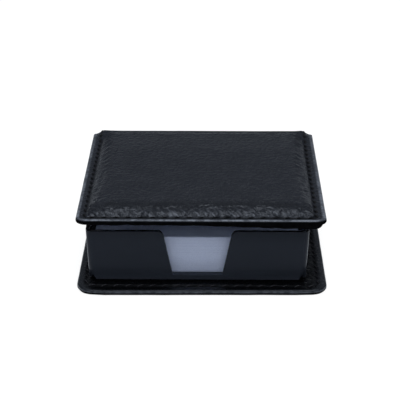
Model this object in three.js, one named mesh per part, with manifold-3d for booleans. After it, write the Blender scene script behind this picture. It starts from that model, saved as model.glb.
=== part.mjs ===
// Desk memo box with a padded lid. A strip of leather wraps three boards (base flap, spine and lid)
// and folds like a book cover. A moulded tray on the base flap holds a block of memo sheets, and a
// clear pocket under the lid holds a calendar card.
// Millimetres. X runs across the box, Y from its front to its spine, Z up from the desk. The origin is
// on the desk, under the middle of the closed box.
import * as THREE from 'three';
import { mergeVertices } from 'three/addons/utils/BufferGeometryUtils.js';
import Module from 'manifold-3d';

// The memo sheets.
const sheetWidth = 90;
const sheetDepth = 90;
const stackHeight = 16.7;

// The wrap: leather over boards.
const leather = 0.6;
const board = 1.2;
const turnIn = 13;
const boardClearance = 0.1;
const foldLeather = 1.2;
const lowerFoldRadius = 3.4;
const upperFoldRadius = 4.2;

// The base flap.
const baseCornerRadius = 7;
const baseStitchInset = 3.9;

// The room round the memo sheets, inside the tray at its floor.
const sheetLeftGap = 0.7;
const sheetRightGap = 1.5;
const sheetFrontGap = 1.4;
const sheetBackGap = 0.8;

// The tray and what sticks it down.
const trayHeight = 23.6;
const trayWall = 2;
const trayFloor = 2.3;
const trayDraft = 0.9;
const trayCornerRadius = 3.2;
const trayFootRadius = 2.6;
const trayFloorFillet = 0.4;
const trayRimRadius = 0.4;
const tapeThickness = 0.2;
const tapeWidth = 14;
const tapeEndGap = 8;

// The border of the base flap that shows round the tray's rim, and the gap to the spine's inner face.
const borderLeft = 3.6;
const borderRight = 6.8;
const borderFront = 8.2;
const traySpineGap = 2.4;

// The finger notch in the tray's front wall, measured before its corners are rounded.
const notchTopWidth = 30.6;
const notchSillWidth = 22;
const notchRimRadius = 2.6;
const notchSillRadius = 1;

// The lid.
const lidSetback = 0.7;
const lidClearance = 6.2;
const lidCornerRadius = 4;
const lidStitchInset = 3.3;
const padGap = 1;
const padRise = 3;
const padRiseAtFold = 1.3;
const padSlope = 8;
const padTaper = 34;
const foamClearance = 0.3;
const foamInset = 0.5;

// The calendar pocket, set in from the lid's edges, and its card.
const pocketSideInset = 5.2;
const pocketFrontInset = 1.4;
const pocketBackInset = 7.7;
const pocketSheet = 0.3;
const pocketWeld = 2.5;
const thumbCutRadius = 9;
const cardThickness = 0.3;
const cardPlay = 0.15;
const cardClearance = 0.4;

// The sewn rows.
const threadWidth = 0.7;
const threadHeight = 0.35;
const stitchPitch = 5.3;
const stitchSlant = 0.25;
const spineStitchInset = 3.6;

// Every cut runs past the piece that it cuts by this much.
const overrun = 20;

// Points closer than this are one point when a mesh becomes a solid.
const weldDistance = 1e-5;

const panel = leather + board + leather;
const trayWidth = sheetWidth + sheetLeftGap + sheetRightGap + 2 * (trayWall + trayDraft);
const trayDepth = sheetDepth + sheetFrontGap + sheetBackGap + 2 * (trayWall + trayDraft);
const wrapWidth = borderLeft + trayWidth + borderRight;
const wrapDepth = borderFront + trayDepth + traySpineGap + panel;
const frontY = -(wrapDepth + threadHeight) / 2;
const spineY = frontY + wrapDepth;
const halfWidth = wrapWidth / 2;
const lowerFoldY = spineY - lowerFoldRadius;
const upperFoldY = spineY - upperFoldRadius;
const trayBottomZ = panel + tapeThickness;
const rimZ = trayBottomZ + trayHeight;
const lidZ = rimZ + lidClearance;
const lidTopZ = lidZ + panel;
const lidFrontY = frontY + lidSetback;
const trayX = borderLeft + trayWidth / 2 - halfWidth;
const trayY = frontY + borderFront + trayDepth / 2;
const padFoot = lidStitchInset + padGap;

const wasm = await Module();
wasm.setup();

// Solids and cuts.

function toSolid(geometry) {
  const bare = new THREE.BufferGeometry();
  bare.setAttribute('position', geometry.getAttribute('position').clone());
  if (geometry.index) bare.setIndex(geometry.index.clone());
  const merged = mergeVertices(bare, weldDistance);
  return new wasm.Manifold(new wasm.Mesh({
    numProp: 3,
    vertProperties: new Float32Array(merged.getAttribute('position').array),
    triVerts: new Uint32Array(merged.index.array),
  }));
}

function toGeometry(solid) {
  const mesh = solid.getMesh();
  const geometry = new THREE.BufferGeometry();
  geometry.setAttribute('position', new THREE.BufferAttribute(mesh.vertProperties.slice(), 3));
  geometry.setIndex(new THREE.BufferAttribute(mesh.triVerts.slice(), 1));
  geometry.computeVertexNormals();
  return geometry;
}

// Turns the faces of a mirrored geometry the right way round.
function facesTurned(geometry) {
  const turned = geometry.index ? geometry.toNonIndexed() : geometry;
  const position = turned.getAttribute('position');
  const corner = [new THREE.Vector3(), new THREE.Vector3()];
  for (let i = 0; i < position.count; i += 3) {
    corner[0].fromBufferAttribute(position, i + 1);
    corner[1].fromBufferAttribute(position, i + 2);
    position.setXYZ(i + 1, ...corner[1].toArray());
    position.setXYZ(i + 2, ...corner[0].toArray());
  }
  turned.computeVertexNormals();
  return turned;
}

function boxBetween(low, high) {
  const geometry = new THREE.BoxGeometry(high.x - low.x, high.y - low.y, high.z - low.z);
  return geometry.translate((low.x + high.x) / 2, (low.y + high.y) / 2, (low.z + high.z) / 2);
}

// Cuts away everything behind a plane across Y.
function cutBehind(geometry, y) {
  const back = boxBetween(
    new THREE.Vector3(-wrapWidth, y, -wrapDepth),
    new THREE.Vector3(wrapWidth, y + wrapDepth, wrapDepth),
  );
  return toGeometry(toSolid(geometry).subtract(toSolid(back)));
}

// Joins rings of equal count into one closed skin. The end rings are closed by a fan round their centre,
// or, where the ring is a strip's section, by a zip between its two long sides.
function loft(rings, zipped = false) {
  const count = rings[0].length;
  const points = rings.flat();
  const faces = [];
  for (let index = 0; index < rings.length - 1; index += 1) {
    const near = index * count;
    const far = near + count;
    for (let i = 0; i < count; i += 1) {
      const next = (i + 1) % count;
      faces.push(near + i, near + next, far + next, near + i, far + next, far + i);
    }
  }
  const close = (first, flipped) => {
    const cap = [];
    if (zipped) {
      for (let i = 0; i < count / 2 - 1; i += 1) {
        const last = count - 1 - i;
        cap.push([i, last, i + 1], [i + 1, last, last - 1]);
      }
    } else {
      const centre = points.slice(first, first + count).reduce((sum, p) => sum.add(p), new THREE.Vector3());
      points.push(centre.divideScalar(count));
      const middle = points.length - 1 - first;
      for (let i = 0; i < count; i += 1) cap.push([middle, (i + 1) % count, i]);
    }
    cap.forEach((face) => faces.push(...(flipped ? face.reverse() : face).map((i) => first + i)));
  };
  close(0, false);
  close((rings.length - 1) * count, true);
  const geometry = new THREE.BufferGeometry();
  geometry.setAttribute('position', new THREE.Float32BufferAttribute(points.flatMap((p) => p.toArray()), 3));
  geometry.setIndex(faces);
  geometry.computeVertexNormals();
  return geometry;
}

// Outlines.

const cornerSteps = 5;
const sideSteps = 8;

// Points round a rectangle with round corners, set in from its edge by inset. Each call gives as many
// points as any other, so rings of different sizes can be lofted together.
function ringPoints({ left, right, front, back, radius }, inset) {
  const rounding = Math.max(radius - inset, leather / 2);
  const corners = [
    [right - inset - rounding, front + inset + rounding, -Math.PI / 2],
    [right - inset - rounding, back - inset - rounding, 0],
    [left + inset + rounding, back - inset - rounding, Math.PI / 2],
    [left + inset + rounding, front + inset + rounding, Math.PI],
  ];
  const points = [];
  corners.forEach(([x, y, start], index) => {
    for (let step = 0; step <= cornerSteps; step += 1) {
      const angle = start + (step / cornerSteps) * (Math.PI / 2);
      points.push(new THREE.Vector2(x + rounding * Math.cos(angle), y + rounding * Math.sin(angle)));
    }
    const [nextX, nextY, nextStart] = corners[(index + 1) % corners.length];
    const from = points[points.length - 1].clone();
    const to = new THREE.Vector2(
      nextX + rounding * Math.cos(nextStart),
      nextY + rounding * Math.sin(nextStart),
    );
    for (let step = 1; step < sideSteps; step += 1) {
      points.push(from.clone().lerp(to, step / sideSteps));
    }
  });
  return points;
}

function ring(outline, inset, height) {
  const heightAt = typeof height === 'function' ? height : () => height;
  return ringPoints(outline, inset).map((p) => new THREE.Vector3(p.x, p.y, heightAt(p.x, p.y)));
}

const baseOutline = {
  left: -halfWidth,
  right: halfWidth,
  front: frontY,
  back: lowerFoldY + overrun,
  radius: baseCornerRadius,
};
const lidOutline = {
  left: -halfWidth,
  right: halfWidth,
  front: lidFrontY,
  back: upperFoldY + overrun,
  radius: lidCornerRadius,
};

// The padded crown of the lid, as a height over its flat border. It climbs steeply from the sewn row,
// flattens on top and sinks towards the fold.

const crownSteepness = 2.2;
const crownRoundness = 1.6;

function climb(distance) {
  const share = THREE.MathUtils.clamp(distance / padSlope, 0, 1);
  return (1 - (1 - share) ** crownSteepness) ** (1 / crownRoundness);
}

function crown(x, y) {
  const fromFold = THREE.MathUtils.smoothstep(upperFoldY - y, 0, padTaper);
  const rise = THREE.MathUtils.lerp(padRiseAtFold, padRise, fromFold);
  return rise * climb(halfWidth - Math.abs(x) - padFoot) * climb(y - lidFrontY - padFoot);
}

// Insets of the rings that carry the crown, from the sewn row to the middle of the lid.
const slopeShares = [0.05, 0.15, 0.3, 0.5, 0.75, 1];
const middleShares = [0.3, 0.65];
const crownInsets = [
  ...slopeShares.map((share) => padFoot + share * padSlope),
  ...middleShares.map((share) => THREE.MathUtils.lerp(padFoot + padSlope, halfWidth, share)),
];

// Leather of a flap: a skin with a round edge, turned in round the board and open behind. The profile
// runs from the middle of the outer face, round the edge, along the turned-in strip and back inside.

const edgeSteps = 6;

function flapLeather({ outline, foldY, outerZ, innerZ, skinInsets, crownHeight }) {
  const away = Math.sign(outerZ - innerZ);
  const middleZ = (outerZ + innerZ) / 2;
  const edge = panel / 2;
  const outerSkin = outerZ - away * leather;
  const innerSkin = innerZ + away * leather;
  const crownAt = (foot) => (x, y) => (foot ? 0 : crownHeight(x, y));
  const skin = (z) => skinInsets.map((inset, index) => {
    const heightAt = crownAt(index === 0);
    return ring(outline, inset, (x, y) => z + heightAt(x, y));
  });
  const rings = skin(outerZ).reverse();
  for (let step = 0; step <= edgeSteps; step += 1) {
    const angle = (step / edgeSteps) * Math.PI;
    rings.push(ring(outline, edge - edge * Math.sin(angle), middleZ + away * edge * Math.cos(angle)));
  }
  rings.push(ring(outline, turnIn, innerZ));
  rings.push(ring(outline, turnIn, innerSkin));
  rings.push(ring(outline, leather, innerSkin));
  rings.push(ring(outline, leather, outerSkin));
  rings.push(...skin(outerSkin));
  if (away > 0) rings.reverse();
  return cutBehind(loft(rings), foldY);
}

function flatShape(outline, inset, back) {
  const { left, right, front, radius } = outline;
  const rounding = Math.max(radius - inset, leather / 2);
  const shape = new THREE.Shape();
  shape.moveTo(left + inset, back);
  shape.lineTo(left + inset, front + inset + rounding);
  shape.absarc(left + inset + rounding, front + inset + rounding, rounding, Math.PI, 1.5 * Math.PI);
  shape.lineTo(right - inset - rounding, front + inset);
  shape.absarc(right - inset - rounding, front + inset + rounding, rounding, 1.5 * Math.PI, 2 * Math.PI);
  shape.lineTo(right - inset, back);
  shape.closePath();
  return shape;
}

function sheet(shape, bottomZ, thickness) {
  const geometry = new THREE.ExtrudeGeometry(shape, {
    depth: thickness,
    bevelEnabled: false,
    curveSegments: cornerSteps,
  });
  return geometry.translate(0, 0, bottomZ);
}

// A sewn row: one thread that lies on the leather between its needle holes and dips at each of them.
// Its underside is flat, and each stitch lies a little across the row.

const stitchShares = [
  { along: 0.06, size: 0.35 },
  { along: 0.34, size: 1 },
  { along: 0.66, size: 1 },
  { along: 0.94, size: 0.35 },
];

// The flat top of the thread, as a share of its width.
const threadTopShare = 0.6;

function sewnRow(route) {
  const stitches = Math.round(route.getLength() / stitchPitch);
  const rings = [];
  for (let stitch = 0; stitch < stitches; stitch += 1) {
    stitchShares.forEach(({ along, size }) => {
      const at = (stitch + along) / stitches;
      const point = route.getPointAt(at);
      const tangent = route.getTangentAt(at);
      const across = new THREE.Vector2(-tangent.y, tangent.x);
      const centre = point.clone().addScaledVector(across, stitchSlant * (along - 0.5));
      const half = (threadWidth / 2) * size;
      const corner = (share, height) => {
        const p = centre.clone().addScaledVector(across, half * share);
        return new THREE.Vector3(p.x, p.y, height);
      };
      const top = threadHeight * size;
      rings.push([corner(1, 0), corner(threadTopShare, top), corner(-threadTopShare, top), corner(-1, 0)]);
    });
  }
  return loft(rings, true);
}

// The row's route round a flap, from the fold at the left, round the front, to the fold at the right.
function flapRoute(outline, inset, foldY) {
  const { left, right, front, radius } = outline;
  const rounding = Math.max(radius - inset, threadWidth);
  const low = new THREE.Vector2(left + inset, front + inset);
  const high = new THREE.Vector2(right - inset, foldY - threadWidth);
  const path = new THREE.Path();
  path.moveTo(low.x, high.y);
  path.lineTo(low.x, low.y + rounding);
  path.absarc(low.x + rounding, low.y + rounding, rounding, Math.PI, 1.5 * Math.PI);
  path.lineTo(high.x - rounding, low.y);
  path.absarc(high.x - rounding, low.y + rounding, rounding, 1.5 * Math.PI, 2 * Math.PI);
  path.lineTo(high.x, high.y);
  return path;
}

// Materials.

const leatherLook = () => new THREE.MeshStandardMaterial({ color: 0x17181c, roughness: 0.42 });
const liningLook = () => new THREE.MeshStandardMaterial({ color: 0x131418, roughness: 0.6 });
const boardLook = () => new THREE.MeshStandardMaterial({ color: 0x8a8378, roughness: 0.95 });
const foamLook = () => new THREE.MeshStandardMaterial({ color: 0xd8d2bd, roughness: 1 });
const threadLook = () => new THREE.MeshStandardMaterial({ color: 0x0b0b0e, roughness: 0.5 });
const plasticLook = () => new THREE.MeshStandardMaterial({ color: 0x1c1f26, roughness: 0.38 });
const tapeLook = () => new THREE.MeshStandardMaterial({ color: 0xe6e2d4, roughness: 0.7 });
const paperLook = () => new THREE.MeshStandardMaterial({ color: 0xe9ebf2, roughness: 0.9 });
const clearLook = () => new THREE.MeshStandardMaterial({
  color: 0xdfe6ea,
  roughness: 0.15,
  transparent: true,
  opacity: 0.35,
});

const memoBox = new THREE.Group();

function add(name, geometry, material, parent = memoBox) {
  const mesh = new THREE.Mesh(geometry, material);
  mesh.name = name;
  parent.add(mesh);
  return mesh;
}

// Base flap.

add('base_cover', flapLeather({
  outline: baseOutline,
  foldY: lowerFoldY,
  outerZ: 0,
  innerZ: panel,
  skinInsets: [turnIn],
  crownHeight: () => 0,
}), leatherLook());
const baseBoardShape = flatShape(baseOutline, leather + boardClearance, lowerFoldY);
add('base_board', sheet(baseBoardShape, leather, board), boardLook());
add('base_lining', sheet(flatShape(baseOutline, turnIn, lowerFoldY), leather + board, leather), liningLook());
const baseThread = sewnRow(flapRoute(baseOutline, baseStitchInset, lowerFoldY));
add('base_thread', baseThread.translate(0, 0, panel), threadLook());

// Tray: a moulded box with drafted walls, round lower edges and a notch for a finger in front.

const footSteps = 4;

function trayRing(inset, z) {
  const lean = trayDraft * (1 - z / trayHeight);
  const outline = {
    left: -trayWidth / 2,
    right: trayWidth / 2,
    front: -trayDepth / 2,
    back: trayDepth / 2,
    radius: trayCornerRadius + lean,
  };
  return ring(outline, lean + inset, z);
}

function trayShell() {
  const rings = [];
  for (let step = 0; step <= footSteps; step += 1) {
    const angle = (step / footSteps) * (Math.PI / 2);
    rings.push(trayRing(trayFootRadius * (1 - Math.sin(angle)), trayFootRadius * (1 - Math.cos(angle))));
  }
  rings.push(trayRing(0, trayHeight - trayRimRadius));
  rings.push(trayRing(trayRimRadius, trayHeight));
  rings.push(trayRing(trayWall - trayRimRadius, trayHeight));
  rings.push(trayRing(trayWall, trayHeight - trayRimRadius));
  for (let step = footSteps; step >= 0; step -= 1) {
    const angle = (step / footSteps) * (Math.PI / 2);
    const inset = trayWall + trayFloorFillet * (1 - Math.sin(angle));
    rings.push(trayRing(inset, trayFloor + trayFloorFillet * (1 - Math.cos(angle))));
  }
  return loft(rings);
}

// The notch, looking along Y: sloped sides that flare into the rim, and a level sill at the floor.
function notchShape() {
  const height = trayHeight - trayFloor;
  const lean = Math.atan2((notchTopWidth - notchSillWidth) / 2, height);
  const slope = new THREE.Vector2(Math.sin(lean), Math.cos(lean));
  const rimReach = notchRimRadius * Math.tan((Math.PI / 2 - lean) / 2);
  const sillReach = notchSillRadius * Math.tan((Math.PI / 2 - lean) / 2);
  const rim = new THREE.Vector2(notchTopWidth / 2, trayHeight);
  const sill = new THREE.Vector2(notchSillWidth / 2, trayFloor);
  const side = (sign) => ({
    top: [sign * (rim.x + rimReach), rim.y],
    bend: [sign * rim.x, rim.y],
    underRim: [sign * (rim.x - rimReach * slope.x), rim.y - rimReach * slope.y],
    overSill: [sign * (sill.x + sillReach * slope.x), sill.y + sillReach * slope.y],
    corner: [sign * sill.x, sill.y],
    onSill: [sign * (sill.x - sillReach), sill.y],
  });
  const near = side(-1);
  const far = side(1);
  const shape = new THREE.Shape();
  shape.moveTo(near.top[0], rim.y + overrun);
  shape.lineTo(...near.top);
  shape.quadraticCurveTo(...near.bend, ...near.underRim);
  shape.lineTo(...near.overSill);
  shape.quadraticCurveTo(...near.corner, ...near.onSill);
  shape.lineTo(...far.onSill);
  shape.quadraticCurveTo(...far.corner, ...far.overSill);
  shape.lineTo(...far.underRim);
  shape.quadraticCurveTo(...far.bend, ...far.top);
  shape.lineTo(far.top[0], rim.y + overrun);
  shape.closePath();
  return shape;
}

function trayGeometry() {
  const cut = new THREE.ExtrudeGeometry(notchShape(), {
    depth: overrun + trayWall + trayFloorFillet,
    bevelEnabled: false,
    curveSegments: cornerSteps,
  });
  cut.rotateX(Math.PI / 2);
  cut.translate(0, trayWall + trayFloorFillet + trayDraft - trayDepth / 2, 0);
  return toGeometry(toSolid(trayShell()).subtract(toSolid(cut)));
}

const trayGroup = new THREE.Group();
trayGroup.position.set(trayX, trayY, trayBottomZ);
memoBox.add(trayGroup);
add('tray', trayGeometry(), plasticLook(), trayGroup);

const footWidth = trayWidth - 2 * (trayDraft + trayFootRadius);
const footDepth = trayDepth - 2 * (trayDraft + trayFootRadius);

function addTape(name, side) {
  const tape = new THREE.BoxGeometry(footWidth - 2 * tapeEndGap, tapeWidth, tapeThickness);
  const mesh = add(name, tape, tapeLook(), trayGroup);
  mesh.position.set(0, (side * (footDepth - tapeWidth)) / 2, -tapeThickness / 2);
}

addTape('tray_tape_front', -1);
addTape('tray_tape_back', 1);

// Memo sheets: a block of loose sheets on the tray's floor.

const sheets = add(
  'memo_sheets',
  new THREE.BoxGeometry(sheetWidth, sheetDepth, stackHeight),
  paperLook(),
  trayGroup,
);
sheets.position.set(
  trayWall + trayDraft + sheetLeftGap + (sheetWidth - trayWidth) / 2,
  trayWall + trayDraft + sheetFrontGap + (sheetDepth - trayDepth) / 2,
  trayFloor + stackHeight / 2,
);

// Folds: leather and lining glued together over the gap between two boards. The outer face is a quarter
// turn round a centre, the laminate is thinnest at the middle of the bend, and its ends are round.

const foldSteps = 8;

// A section of a fold in the plane across X, from its lowest or highest point to the spine's face.
function foldSection(inset, side, centre, radius, riseAt, up) {
  const x = side * (halfWidth - inset);
  const roundness = Math.sqrt(1 - (1 - Math.min((2 * inset) / panel, 1)) ** 2);
  const outer = [];
  const inner = [];
  for (let step = 0; step <= foldSteps; step += 1) {
    const angle = (step / foldSteps) * (Math.PI / 2);
    const full = panel - (panel - foldLeather) * Math.sin(2 * angle);
    const middle = radius - full / 2;
    const half = (roundness * full) / 2;
    const direction = new THREE.Vector2(Math.cos(angle), up * Math.sin(angle));
    const rise = riseAt(x) * Math.sin(angle);
    outer.push(new THREE.Vector3(
      x,
      centre.x + (middle + half) * direction.x,
      centre.y + (middle + half + rise) * direction.y,
    ));
    inner.push(new THREE.Vector3(
      x,
      centre.x + (middle - half) * direction.x,
      centre.y + (middle - half) * direction.y,
    ));
  }
  return [...outer, ...inner.reverse()];
}

function foldStrip({ insets, centre, radius, riseAt, up }) {
  const rings = [
    ...insets.map((inset) => foldSection(inset, 1, centre, radius, riseAt, up)),
    ...insets.map((inset) => foldSection(inset, -1, centre, radius, riseAt, up)).reverse(),
  ];
  if (up > 0) rings.reverse();
  return loft(rings, true);
}

// Insets of the sections that round a fold's ends, as shares of half a panel's thickness.
const foldEndShares = [0.04, 0.3, 1];
const foldEndInsets = foldEndShares.map((share) => (share * panel) / 2);

add('lower_fold', foldStrip({
  insets: foldEndInsets,
  centre: new THREE.Vector2(lowerFoldY, lowerFoldRadius),
  radius: lowerFoldRadius,
  riseAt: () => 0,
  up: -1,
}), leatherLook());
add('upper_fold', foldStrip({
  insets: [...foldEndInsets, padFoot, ...crownInsets],
  centre: new THREE.Vector2(upperFoldY, lidTopZ - upperFoldRadius),
  radius: upperFoldRadius,
  riseAt: (x) => crown(x, upperFoldY),
  up: 1,
}), leatherLook());

// Spine: a straight panel between the folds, its leather turned in at both ends.

const spineLowZ = lowerFoldRadius;
const spineHeight = lidTopZ - upperFoldRadius - spineLowZ;

function spineLeather() {
  const edge = panel / 2;
  const end = halfWidth - edge;
  const shape = new THREE.Shape();
  shape.moveTo(-end, 0);
  shape.lineTo(end, 0);
  shape.absarc(end, edge, edge, -Math.PI / 2, Math.PI / 2);
  shape.lineTo(halfWidth - turnIn, panel);
  shape.lineTo(halfWidth - turnIn, panel - leather);
  shape.lineTo(halfWidth - leather, panel - leather);
  shape.lineTo(halfWidth - leather, leather);
  shape.lineTo(leather - halfWidth, leather);
  shape.lineTo(leather - halfWidth, panel - leather);
  shape.lineTo(turnIn - halfWidth, panel - leather);
  shape.lineTo(turnIn - halfWidth, panel);
  shape.lineTo(-end, panel);
  shape.absarc(-end, edge, edge, Math.PI / 2, 1.5 * Math.PI);
  return new THREE.ExtrudeGeometry(shape, {
    depth: spineHeight,
    bevelEnabled: false,
    curveSegments: edgeSteps,
  });
}

// The spine's pieces are drawn lying on their outer face and stood up: their X stays, their Y points
// into the box.
const spineGroup = new THREE.Group();
spineGroup.position.set(0, spineY, spineLowZ);
memoBox.add(spineGroup);

const spineCover = spineLeather();
spineCover.scale(1, -1, 1);
add('spine_cover', facesTurned(spineCover), leatherLook(), spineGroup);

function addSpineSheet(name, width, depthFromOuter, thickness, material) {
  const geometry = new THREE.BoxGeometry(width, thickness, spineHeight);
  const mesh = add(name, geometry, material, spineGroup);
  mesh.position.set(0, -depthFromOuter - thickness / 2, spineHeight / 2);
}

addSpineSheet('spine_board', wrapWidth - 2 * (leather + boardClearance), leather, board, boardLook());
addSpineSheet('spine_lining', wrapWidth - 2 * turnIn, leather + board, leather, liningLook());

function addSpineThread(name, side) {
  const route = new THREE.LineCurve(
    new THREE.Vector2(0, threadWidth),
    new THREE.Vector2(0, spineHeight - threadWidth),
  );
  const geometry = sewnRow(route);
  geometry.rotateX(-Math.PI / 2);
  const mesh = add(name, geometry, threadLook(), spineGroup);
  mesh.position.set(side * (halfWidth - spineStitchInset), 0, spineHeight);
}

addSpineThread('spine_thread_left', -1);
addSpineThread('spine_thread_right', 1);

// Lid.

add('lid_cover', flapLeather({
  outline: lidOutline,
  foldY: upperFoldY,
  outerZ: lidTopZ,
  innerZ: lidZ,
  skinInsets: [padFoot, ...crownInsets],
  crownHeight: crown,
}), leatherLook());
const lidBoardShape = flatShape(lidOutline, leather + boardClearance, upperFoldY);
add('lid_board', sheet(lidBoardShape, lidZ + leather, board), boardLook());
add('lid_lining', sheet(flatShape(lidOutline, turnIn, upperFoldY), lidZ, leather), liningLook());
const lidThread = sewnRow(flapRoute(lidOutline, lidStitchInset, upperFoldY));
add('lid_thread', lidThread.translate(0, 0, lidTopZ), threadLook());

// The foam fills the space between the lid's board and the leather's crown.
function foamGeometry() {
  const boardTop = lidTopZ - leather;
  const insets = crownInsets.filter((inset) => inset > padFoot + foamInset);
  const top = insets.map((inset) => ring(
    lidOutline,
    inset,
    (x, y) => boardTop + Math.max(crown(x, y) - foamClearance, 0),
  ));
  const rings = [ring(lidOutline, insets[0], boardTop), ...top];
  return cutBehind(loft(rings), upperFoldY - foamClearance);
}

add('lid_foam', foamGeometry(), foamLook());

// Calendar pocket: a clear sheet joined to the lid on three sides, open at the right, with a thumb cut.

const pocketWidth = wrapWidth - 2 * pocketSideInset;
const pocketDepth = upperFoldY - lidFrontY - pocketFrontInset - pocketBackInset;
const pocketSlot = cardThickness + cardPlay;
const pocketHeight = pocketSheet + pocketSlot;
const pocketGroup = new THREE.Group();
pocketGroup.position.set(0, lidFrontY + pocketFrontInset + pocketDepth / 2, lidZ - pocketHeight);
memoBox.add(pocketGroup);

function pocketGeometry() {
  const right = pocketWidth / 2;
  const back = pocketDepth / 2;
  const shape = new THREE.Shape();
  shape.moveTo(-right, -back);
  shape.lineTo(right, -back);
  shape.lineTo(right, -thumbCutRadius);
  shape.absarc(right, 0, thumbCutRadius, 1.5 * Math.PI, Math.PI / 2, true);
  shape.lineTo(right, back);
  shape.lineTo(-right, back);
  shape.closePath();
  const pocket = new THREE.ExtrudeGeometry(shape, {
    depth: pocketHeight,
    bevelEnabled: false,
    curveSegments: 2 * cornerSteps,
  });
  const slot = boxBetween(
    new THREE.Vector3(pocketWeld - right, pocketWeld - back, pocketSheet),
    new THREE.Vector3(right + overrun, back - pocketWeld, pocketHeight + overrun),
  );
  return toGeometry(toSolid(pocket).subtract(toSolid(slot)));
}

add('calendar_pocket', pocketGeometry(), clearLook(), pocketGroup);

// Calendar card: it slides in the pocket's slot, its right edge level with the pocket's mouth.

const cardWidth = pocketWidth - pocketWeld - cardClearance;
const cardDepth = pocketDepth - 2 * (pocketWeld + cardClearance);
const card = add(
  'calendar_card',
  new THREE.BoxGeometry(cardWidth, cardDepth, cardThickness),
  paperLook(),
  pocketGroup,
);
card.position.set((pocketWidth - cardWidth) / 2, 0, pocketSheet + pocketSlot / 2);

export default memoBox;
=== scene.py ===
# A desk memo box with a padded lid, dressed round its CAD frame. Metres, in the frame's own axes:
# X across, Y from the notched front to the spine, Z up from the desk.
import math
import random

import bmesh
import bpy
from mathutils import Matrix, Vector, noise


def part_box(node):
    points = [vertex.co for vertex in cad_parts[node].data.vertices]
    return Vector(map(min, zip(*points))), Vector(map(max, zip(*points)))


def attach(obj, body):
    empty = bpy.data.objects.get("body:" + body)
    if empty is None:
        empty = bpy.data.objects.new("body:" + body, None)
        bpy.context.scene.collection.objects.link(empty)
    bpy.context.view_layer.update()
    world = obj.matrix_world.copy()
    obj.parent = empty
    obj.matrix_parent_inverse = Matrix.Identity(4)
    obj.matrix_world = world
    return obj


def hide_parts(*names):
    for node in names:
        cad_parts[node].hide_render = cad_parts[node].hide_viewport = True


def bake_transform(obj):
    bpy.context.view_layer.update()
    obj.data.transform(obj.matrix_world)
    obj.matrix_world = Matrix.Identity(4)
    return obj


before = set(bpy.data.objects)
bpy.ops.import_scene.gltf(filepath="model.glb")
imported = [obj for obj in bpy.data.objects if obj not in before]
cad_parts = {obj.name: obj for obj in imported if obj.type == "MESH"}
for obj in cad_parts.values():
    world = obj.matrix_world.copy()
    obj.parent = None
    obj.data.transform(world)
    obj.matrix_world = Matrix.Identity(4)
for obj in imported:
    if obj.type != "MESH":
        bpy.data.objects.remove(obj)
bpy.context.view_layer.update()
mm = 0.001


# Lower leather
# The lower half of the wrap: one sheet of black imitation leather, glued over the base board, round the
# lower fold and half way up the spine. Its border is turned in round the board and gathered at the corners.

leather_thickness = 0.6 * mm
turned_in = 13 * mm
fold_leather = 1.2 * mm
base_corner_radius = 7 * mm
base_row_inset = 3.9 * mm
middle_row_inset = 3.6 * mm
stitch_pitch = 5.3 * mm
front_steps = 200
corner_steps = 16
side_steps = 400
ridge_places = (1.3 * mm, 2.7 * mm)
row_channel_depth = 0.4 * mm
row_channel_width = 0.55 * mm
wave_size = 9 * mm
stretch_reach = 15 * mm
stretch_share = 0.75
ridge_width = 0.45 * mm
ridge_height = 0.3 * mm
right_spread = 1.2 * mm
left_spread = 0.5 * mm
front_spread = 1.5 * mm
front_skew = 0.6 * mm
spread_border = 8 * mm
spread_run = 35 * mm
spread_hem = 2.5 * mm
corner_start = 42 * mm
corner_run = 12 * mm
# Where the base's painted shade begins in front of the tray and beside it, and how dark it is beside it.
front_shade_edge = 0.6 * mm
side_shade_edge = 0.8 * mm
side_shade = 0.85
base_low, base_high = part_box("base_cover")
lower_fold_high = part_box("lower_fold")[1]
upper_fold_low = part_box("upper_fold")[0]
wrap_half_width = base_high.x
panel = base_high.z
middle_of_spine = (lower_fold_high.z + upper_fold_low.z) / 2


def deselected():
    """Leaves object mode's selection empty, so that the next operator acts on its own piece alone."""
    if bpy.context.object and bpy.context.object.mode != "OBJECT":
        bpy.ops.object.mode_set(mode="OBJECT")
    bpy.ops.object.select_all(action="DESELECT")


def take(piece):
    """Makes a piece the only selected and the active one."""
    deselected()
    piece.select_set(True)
    bpy.context.view_layer.objects.active = piece


def pick(piece, kind, test):
    """Goes into edit mode with those points, edges or faces selected that pass the test."""
    take(piece)
    bpy.ops.object.mode_set(mode="EDIT")
    bpy.ops.mesh.select_mode(type=kind)
    bpy.ops.mesh.select_all(action="DESELECT")
    cage = bmesh.from_edit_mesh(piece.data)
    for part in {"VERT": cage.verts, "EDGE": cage.edges, "FACE": cage.faces}[kind]:
        part.select_set(bool(test(part)))
    bmesh.update_edit_mesh(piece.data)


def pick_faces(piece, test):
    """Picks the faces whose middle and normal pass the test."""
    pick(piece, "FACE", lambda face: test(face.calc_center_median(), face.normal))


def pick_edges(piece, test):
    """Picks the edges whose two ends pass the test."""
    pick(piece, "EDGE", lambda edge: test(edge.verts[0].co, edge.verts[1].co))


def finish_edit():
    bpy.ops.object.mode_set(mode="OBJECT")


def apply_modifier(piece, kind, **settings):
    """Adds one modifier with these settings and applies it."""
    take(piece)
    modifier = piece.modifiers.new(kind.title(), kind)
    for name, value in settings.items():
        setattr(modifier, name, value)
    bpy.ops.object.modifier_apply(modifier=modifier.name)


def move_points(piece, mover):
    """Moves each point of a piece to where mover says."""
    for point in piece.data.vertices:
        point.co = mover(point.co)
    piece.data.update()


def smooth(piece, degrees=40):
    take(piece)
    bpy.ops.object.shade_smooth_by_angle(angle=math.radians(degrees))


def named(piece, name):
    piece.name = name
    piece.data.name = name
    return piece


def copy_of(piece):
    copy = piece.copy()
    copy.data = piece.data.copy()
    bpy.context.collection.objects.link(copy)
    return copy


def on_desk(co):
    """Where a point stays that would dip under the desk."""
    return Vector((co.x, co.y, max(co.z, 0)))


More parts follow.
